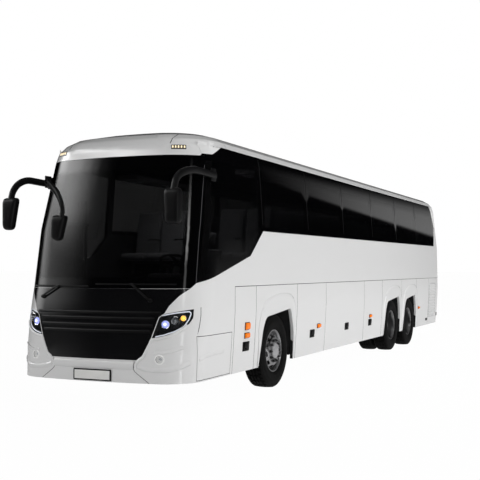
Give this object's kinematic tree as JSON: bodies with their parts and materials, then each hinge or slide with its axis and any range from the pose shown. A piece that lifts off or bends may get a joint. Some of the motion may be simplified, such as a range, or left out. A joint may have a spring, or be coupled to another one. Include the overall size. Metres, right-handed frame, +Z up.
{
  "type": "three-axle touring coach",
  "caption": "Three-axle touring coach with raised deck, tinted glass band, luggage bays with flaps, swing-out doors, steering front axle and rolling wheels.",
  "frame": {"origin": "on the ground, at the middle of the whole object's box: mid-width, and mid-way from the mirrors' foremost reach to the tail", "axes": "+Z up, the nose faces -Y, +X is the driver's left side; the passenger doors are on -X"},
  "size_m": [2.7691, 14.1, 3.574],
  "materials": {
    "body_paint": "gloss",
    "black_gloss": "gloss",
    "tinted_glass": "gloss",
    "screen_glass": "gloss",
    "lamp_lens": "gloss",
    "rear_lens": "gloss",
    "black_plastic": "satin",
    "cabin_floor": "matte",
    "cabin_trim": "satin",
    "underbody": "satin",
    "door_gear": "satin",
    "rubber_tyre": "matte",
    "bright_rim": "satin",
    "dark_rim": "satin",
    "axle_iron": "satin",
    "engine_iron": "satin",
    "seat_cloth": "woven",
    "grip_plastic": "satin"
  },
  "bodies": {
    "coach": {"front_cap": "body_paint", "roof": "body_paint", "bumpers": "body_paint", "front_quarters": "body_paint", "upper_walls": "body_paint", "skirt_panels": "body_paint", "front_mask": "black_gloss", "windscreen": "screen_glass", "windows": "tinted_glass", "cab_windows": "tinted_glass", "headlights": "lamp_lens", "rear_lamps": "rear_lens", "mirrors": "black_plastic", "wipers": "black_plastic", "passenger_deck": "cabin_floor", "lower_floors": "cabin_floor", "door_steps": "cabin_floor", "luggage_racks": "cabin_trim", "dashboard": "cabin_trim", "bulkheads": "underbody", "chassis_frame": "underbody", "front_axle": "axle_iron", "drive_axle": "axle_iron", "tag_axle": "axle_iron", "engine_block": "engine_iron", "driver_seat": "seat_cloth", "passenger_seats": "seat_cloth"},
    "left_steering_knuckle": {"left_knuckle": "axle_iron"},
    "right_steering_knuckle": {"right_knuckle": "axle_iron"},
    "front_left_wheel": {"front_left_rim": "bright_rim", "front_left_tyre": "rubber_tyre"},
    "drive_left_wheels": {"drive_left_rim": "dark_rim", "drive_left_tyres": "rubber_tyre"},
    "tag_left_wheel": {"tag_left_rim": "dark_rim", "tag_left_tyre": "rubber_tyre"},
    "front_right_wheel": {"front_right_rim": "bright_rim", "front_right_tyre": "rubber_tyre"},
    "drive_right_wheels": {"drive_right_rim": "dark_rim", "drive_right_tyres": "rubber_tyre"},
    "tag_right_wheel": {"tag_right_rim": "dark_rim", "tag_right_tyre": "rubber_tyre"},
    "steering_tie_rod": {"tie_rod": "axle_iron"},
    "steering_wheel": {"steering_wheel": "grip_plastic"},
    "left_service_flap": {"left_service_flap": "body_paint"},
    "left_luggage_door_1": {"left_luggage_door_1": "body_paint"},
    "left_luggage_door_2": {"left_luggage_door_2": "body_paint"},
    "left_luggage_door_3": {"left_luggage_door_3": "body_paint"},
    "right_luggage_door_1": {"right_luggage_door_1": "body_paint"},
    "right_luggage_door_2": {"right_luggage_door_2": "body_paint"},
    "driver_side_hatch": {"driver_side_hatch": "body_paint"},
    "left_grille_door": {"left_grille_door": "body_paint"},
    "right_grille_door": {"right_grille_door": "body_paint"},
    "engine_door": {"engine_door": "body_paint"},
    "front_door_arm": {"front_door_arm": "door_gear"},
    "front_door_leaf": {"front_door_leaf": "black_gloss"},
    "middle_door_arm": {"middle_door_arm": "door_gear"},
    "middle_door_leaf": {"middle_door_leaf": "black_gloss"},
    "front_roof_hatch": {"front_roof_hatch": "body_paint"},
    "rear_roof_hatch": {"rear_roof_hatch": "body_paint"}
  },
  "joints": [
    {"name": "left_steer", "type": "hinge", "parent": "coach", "child": "left_steering_knuckle", "pos_m": [0.88, -3.85, 0.522], "axis": [0, 0, 1], "range_deg": [-40, 40]},
    {"name": "right_steer", "type": "hinge", "parent": "coach", "child": "right_steering_knuckle", "pos_m": [-0.88, -3.85, 0.522], "axis": [0, 0, 1], "range_deg": [-40, 40]},
    {"name": "front_left_roll", "type": "hinge", "parent": "left_steering_knuckle", "child": "front_left_wheel", "pos_m": [1.08, -3.85, 0.522], "axis": [1, 0, 0], "continuous": true},
    {"name": "drive_left_roll", "type": "hinge", "parent": "coach", "child": "drive_left_wheels", "pos_m": [1.08, 2.57, 0.522], "axis": [1, 0, 0], "continuous": true},
    {"name": "tag_left_roll", "type": "hinge", "parent": "coach", "child": "tag_left_wheel", "pos_m": [1.08, 4.01, 0.522], "axis": [1, 0, 0], "continuous": true},
    {"name": "front_right_roll", "type": "hinge", "parent": "right_steering_knuckle", "child": "front_right_wheel", "pos_m": [-1.08, -3.85, 0.522], "axis": [1, 0, 0], "continuous": true},
    {"name": "drive_right_roll", "type": "hinge", "parent": "coach", "child": "drive_right_wheels", "pos_m": [-1.08, 2.57, 0.522], "axis": [1, 0, 0], "continuous": true},
    {"name": "tag_right_roll", "type": "hinge", "parent": "coach", "child": "tag_right_wheel", "pos_m": [-1.08, 4.01, 0.522], "axis": [1, 0, 0], "continuous": true},
    {"name": "tie_rod_swing", "type": "hinge", "parent": "left_steering_knuckle", "child": "steering_tie_rod", "pos_m": [0.88, -3.59, 0.445], "axis": [0, 0, 1], "range_deg": [-40, 40]},
    {"name": "steering_wheel_turn", "type": "hinge", "parent": "coach", "child": "steering_wheel", "pos_m": [0.62, -5.64, 1.76], "axis": [0, 0.454, 0.891], "range_deg": [-720, 720]},
    {"name": "left_service_flap_hinge", "type": "hinge", "parent": "coach", "child": "left_service_flap", "pos_m": [1.278, -4.98, 1.461], "axis": [0, -1, 0], "range_deg": [0, 95]},
    {"name": "left_luggage_door_1_hinge", "type": "hinge", "parent": "coach", "child": "left_luggage_door_1", "pos_m": [1.278, -2.415, 1.461], "axis": [0, -1, 0], "range_deg": [0, 95]},
    {"name": "left_luggage_door_2_hinge", "type": "hinge", "parent": "coach", "child": "left_luggage_door_2", "pos_m": [1.278, -0.655, 1.461], "axis": [0, -1, 0], "range_deg": [0, 95]},
    {"name": "left_luggage_door_3_hinge", "type": "hinge", "parent": "coach", "child": "left_luggage_door_3", "pos_m": [1.278, 1.06, 1.461], "axis": [0, -1, 0], "range_deg": [0, 95]},
    {"name": "right_luggage_door_1_hinge", "type": "hinge", "parent": "coach", "child": "right_luggage_door_1", "pos_m": [-1.278, -2.415, 1.461], "axis": [0, 1, 0], "range_deg": [0, 95]},
    {"name": "right_luggage_door_2_hinge", "type": "hinge", "parent": "coach", "child": "right_luggage_door_2", "pos_m": [-1.278, -0.655, 1.461], "axis": [0, 1, 0], "range_deg": [0, 95]},
    {"name": "driver_side_hatch_hinge", "type": "hinge", "parent": "coach", "child": "driver_side_hatch", "pos_m": [1.267, -5.825, 0.886], "axis": [0, -1, 0], "range_deg": [0, 90]},
    {"name": "left_grille_door_hinge", "type": "hinge", "parent": "coach", "child": "left_grille_door", "pos_m": [1.278, 5.821, 0.9], "axis": [0, 0, -1], "range_deg": [0, 90]},
    {"name": "right_grille_door_hinge", "type": "hinge", "parent": "coach", "child": "right_grille_door", "pos_m": [-1.278, 5.821, 0.9], "axis": [0, 0, 1], "range_deg": [0, 90]},
    {"name": "engine_door_hinge", "type": "hinge", "parent": "coach", "child": "engine_door", "pos_m": [0, 7.053, 1.443], "axis": [1, 0, 0], "range_deg": [0, 90]},
    {"name": "front_door_swing", "type": "hinge", "parent": "coach", "child": "front_door_arm", "pos_m": [-1.135, -5.13, 1.2], "axis": [0, 0, -1], "range_deg": [0, 150]},
    {"name": "front_door_leaf_turn", "type": "hinge", "parent": "front_door_arm", "child": "front_door_leaf", "pos_m": [-1.135, -5.53, 1.2], "axis": [0, 0, -1], "range_deg": [-150, 0]},
    {"name": "middle_door_swing", "type": "hinge", "parent": "coach", "child": "middle_door_arm", "pos_m": [-1.135, 1.38, 1.2], "axis": [0, 0, -1], "range_deg": [0, 150]},
    {"name": "middle_door_leaf_turn", "type": "hinge", "parent": "middle_door_arm", "child": "middle_door_leaf", "pos_m": [-1.135, 0.98, 1.2], "axis": [0, 0, -1], "range_deg": [-150, 0]},
    {"name": "front_roof_hatch_hinge", "type": "hinge", "parent": "coach", "child": "front_roof_hatch", "pos_m": [0, -2.9, 3.545], "axis": [1, 0, 0], "range_deg": [0, 60]},
    {"name": "rear_roof_hatch_hinge", "type": "hinge", "parent": "coach", "child": "rear_roof_hatch", "pos_m": [0, 2.9, 3.545], "axis": [1, 0, 0], "range_deg": [0, 60]}
  ],
  "couplings": [
    {"joint": "right_steer", "follows": "left_steer", "ratio": 1},
    {"joint": "tie_rod_swing", "follows": "left_steer", "ratio": -1},
    {"joint": "steering_wheel_turn", "follows": "left_steer", "ratio": 18},
    {"joint": "front_door_leaf_turn", "follows": "front_door_swing", "ratio": -1},
    {"joint": "middle_door_leaf_turn", "follows": "middle_door_swing", "ratio": -1}
  ]
}
